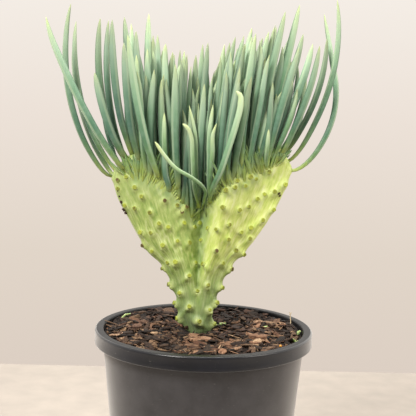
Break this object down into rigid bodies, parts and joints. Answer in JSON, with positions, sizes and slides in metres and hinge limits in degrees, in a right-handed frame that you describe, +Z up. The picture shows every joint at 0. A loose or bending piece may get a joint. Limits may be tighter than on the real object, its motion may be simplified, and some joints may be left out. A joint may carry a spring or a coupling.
{
  "type": "potted crested senecio",
  "caption": "Crested senecio with a pleated fan-shaped stem and upright pencil leaves along its crest, standing in bark mix in a tapered nursery pot.",
  "frame": {"origin": "centre of the pot's flat underside, on the surface that it stands on", "axes": "+Z up along the pot's axis; +X to the right and +Y away, seen from the front of the plant's fan, which spreads along X"},
  "size_m": [0.2613, 0.2, 0.4901],
  "materials": {
    "pot_plastic": "matt moulded",
    "potting_mix": "loose, damp",
    "bark": "rough broken",
    "stem_skin": "satin succulent skin",
    "leaf_skin": "powdery bloom"
  },
  "bodies": {
    "root": {"bark_chip_back": "bark", "bark_chip_back_left": "bark", "bark_chip_back_right": "bark", "bark_chip_front": "bark", "bark_chip_front_low": "bark", "bark_chip_front_right": "bark", "bark_chip_left": "bark", "bark_chip_left_front": "bark", "bark_chip_right": "bark", "bark_chip_right_front": "bark", "bark_chip_right_low": "bark", "crested_stem": "stem_skin", "leaf_club_shaped": "leaf_skin", "leaf_curled": "leaf_skin", "leaf_left_01": "leaf_skin", "leaf_left_02": "leaf_skin", "leaf_left_03": "leaf_skin", "leaf_left_04": "leaf_skin", "leaf_left_05": "leaf_skin", "leaf_left_06": "leaf_skin", "leaf_left_07": "leaf_skin", "leaf_left_08": "leaf_skin", "leaf_left_09": "leaf_skin", "leaf_left_10": "leaf_skin", "leaf_left_11": "leaf_skin", "leaf_left_12": "leaf_skin", "leaf_left_13": "leaf_skin", "leaf_left_14": "leaf_skin", "leaf_left_15": "leaf_skin", "leaf_left_16": "leaf_skin", "leaf_left_17": "leaf_skin", "leaf_left_18": "leaf_skin", "leaf_left_19": "leaf_skin", "leaf_long_leaning": "leaf_skin", "leaf_middle_01": "leaf_skin", "leaf_middle_02": "leaf_skin", "leaf_middle_03": "leaf_skin", "leaf_middle_04": "leaf_skin", "leaf_middle_05": "leaf_skin", "leaf_middle_06": "leaf_skin", "leaf_middle_07": "leaf_skin", "leaf_right_01": "leaf_skin", "leaf_right_02": "leaf_skin", "leaf_right_03": "leaf_skin", "leaf_right_04": "leaf_skin", "leaf_right_05": "leaf_skin", "leaf_right_06": "leaf_skin", "leaf_right_07": "leaf_skin", "leaf_right_08": "leaf_skin", "leaf_right_09": "leaf_skin", "leaf_right_10": "leaf_skin", "leaf_right_11": "leaf_skin", "leaf_right_12": "leaf_skin", "leaf_right_13": "leaf_skin", "leaf_right_14": "leaf_skin", "leaf_right_15": "leaf_skin", "leaf_right_16": "leaf_skin", "leaf_right_17": "leaf_skin", "nursery_pot": "pot_plastic", "potting_mix": "potting_mix"}
  },
  "joints": []
}
